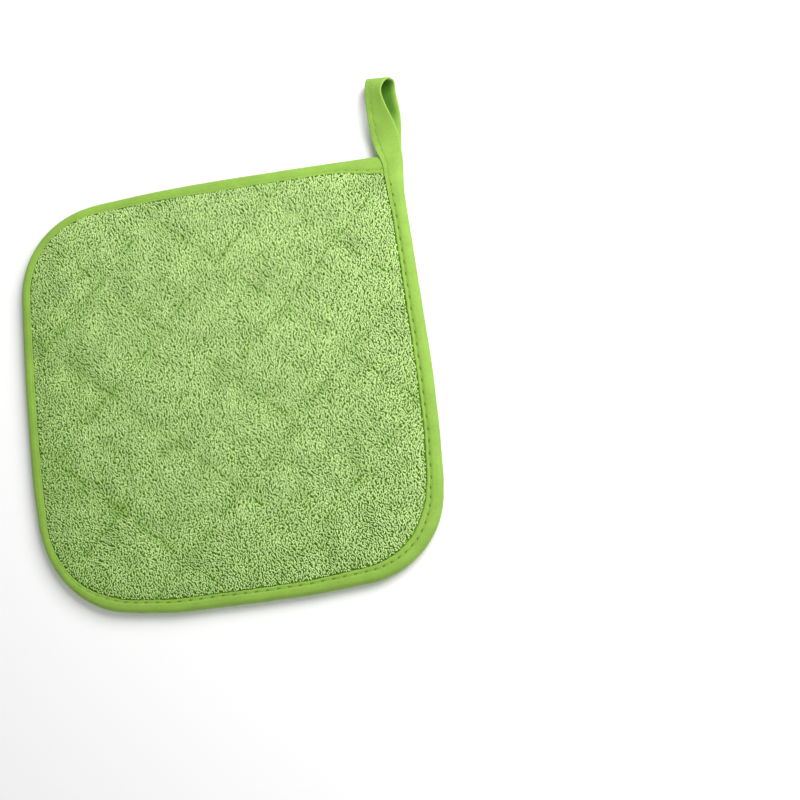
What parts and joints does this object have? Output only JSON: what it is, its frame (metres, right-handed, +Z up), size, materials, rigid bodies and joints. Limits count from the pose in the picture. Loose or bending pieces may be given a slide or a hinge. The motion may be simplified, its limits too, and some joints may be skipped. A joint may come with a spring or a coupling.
{
  "type": "pot holder",
  "caption": "Square quilted pot holder with a terry face, a silver heat-proof back, a bound edge and a hanging loop at its one square corner.",
  "frame": {"origin": "On the surface that the pot holder rests on, under the middle of its whole outline, loop included.", "axes": "+X along its top and bottom edges towards the side with the square corner, +Y along that side towards the loop, +Z up, out of the terry face."},
  "size_m": [0.175, 0.2156, 0.0121],
  "materials": {
    "green_terry": "looped cotton pile in soft green, quilted in diamonds",
    "silver_cloth": "silver coated cloth with a satin shine, quilted in diamonds with pale thread",
    "green_tape": "plain woven lime green tape, sewn with green thread"
  },
  "bodies": {
    "root": {"terry_panel": "green_terry", "silver_panel": "silver_cloth", "edge_binding": "green_tape", "hanging_loop": "green_tape"}
  },
  "joints": []
}
